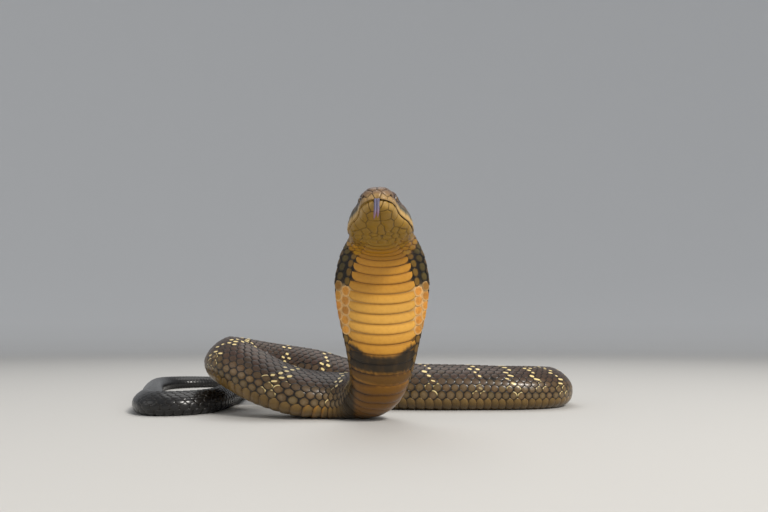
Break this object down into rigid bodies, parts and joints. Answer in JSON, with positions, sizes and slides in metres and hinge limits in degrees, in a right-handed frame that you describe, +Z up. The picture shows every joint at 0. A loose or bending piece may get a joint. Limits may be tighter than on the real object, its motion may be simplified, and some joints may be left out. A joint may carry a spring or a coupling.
{
  "type": "king cobra",
  "caption": "King cobra reared up with its hood spread and its body in loose coils, life size, as a still museum model that lies on the floor.",
  "frame": {"origin": "middle of the footprint, on the floor", "axes": "+Z up, -Y the way the snake faces, +X to its left"},
  "size_m": [0.6404, 0.6237, 0.2121],
  "materials": {
    "neck_skin": "satin, ochre belly plates with dark scales on the sides",
    "back_scales": "satin, dark brown with broken cream bars",
    "tail_scales": "satin, near black",
    "head_plates": "satin, olive brown",
    "chin_scales": "satin, olive yellow",
    "eye": "wet gloss",
    "tongue": "moist, lavender grey"
  },
  "bodies": {
    "root": {"neck_hood": "neck_skin", "neck_raised": "neck_skin", "body_front_left": "back_scales", "body_coil_rising": "back_scales", "body_coil_turn_1": "back_scales", "body_coil_turn_2": "back_scales", "body_coil_back": "back_scales", "body_right": "back_scales", "body_right_turn_1": "back_scales", "body_right_turn_2": "back_scales", "body_right_turn_3": "back_scales", "body_rear_row": "back_scales", "body_rear_turn_left_1": "back_scales", "body_rear_turn_left_2": "back_scales", "body_rear_turn_left_3": "back_scales", "body_middle_row": "back_scales", "body_rear_turn_right_1": "back_scales", "body_rear_turn_right_2": "back_scales", "body_rear_turn_right_3": "back_scales", "body_last_row": "back_scales", "body_last_turn_1": "back_scales", "body_last_turn_2": "back_scales", "body_under_coil_1": "back_scales", "body_under_coil_2": "back_scales", "tail_front_turn_1": "tail_scales", "tail_front_turn_2": "tail_scales", "tail_front_turn_3": "tail_scales", "tail_loop_left": "tail_scales", "tail_loop_turn_1": "tail_scales", "tail_loop_turn_2": "tail_scales", "tail_tip_1": "tail_scales", "tail_tip_2": "tail_scales", "head": "head_plates", "lower_jaw": "chin_scales", "eye_right": "eye", "eye_left": "eye", "tongue": "tongue"}
  },
  "joints": []
}
